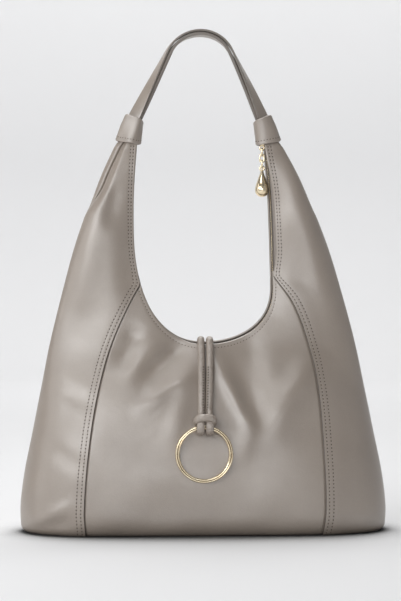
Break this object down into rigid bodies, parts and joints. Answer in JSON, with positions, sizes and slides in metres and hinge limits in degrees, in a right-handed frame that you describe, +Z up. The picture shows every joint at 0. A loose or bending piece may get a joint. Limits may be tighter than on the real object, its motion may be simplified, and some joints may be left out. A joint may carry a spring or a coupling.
{
  "type": "tote bag",
  "caption": "Soft leather tote with a scooped open top, side panels rising into collared necks joined by a shoulder strap, and a gold ring hung from a cord on the front.",
  "frame": {"origin": "middle of the base on the floor", "axes": "+X to the right seen from the front, -Y towards the viewer, +Z up"},
  "size_m": [0.3762, 0.1397, 0.515],
  "materials": {
    "leather": "soft satin taupe leather",
    "tape": "woven zip tape",
    "gold": "polished pale gold plating"
  },
  "bodies": {
    "bag": {"front_panel": "leather", "back_panel": "leather", "side_panel_left": "leather", "side_panel_right": "leather", "base_panel": "leather", "collar_left": "leather", "collar_right": "leather", "strap_outer": "leather", "strap_inner": "leather", "cord_loop": "leather", "zip_tape_front": "tape", "zip_tape_back": "tape", "zip_slider": "gold", "pull_link_1": "gold", "pull_link_2": "gold", "pull_link_3": "gold", "pull_drop": "gold"},
    "ring": {"ring": "gold"}
  },
  "joints": [
    {"name": "ring_swing", "type": "hinge", "parent": "bag", "child": "ring", "pos_m": [-0.00351, -0.06563, 0.1089], "axis": [-1, 0, 0], "range_deg": [0, 120]}
  ]
}
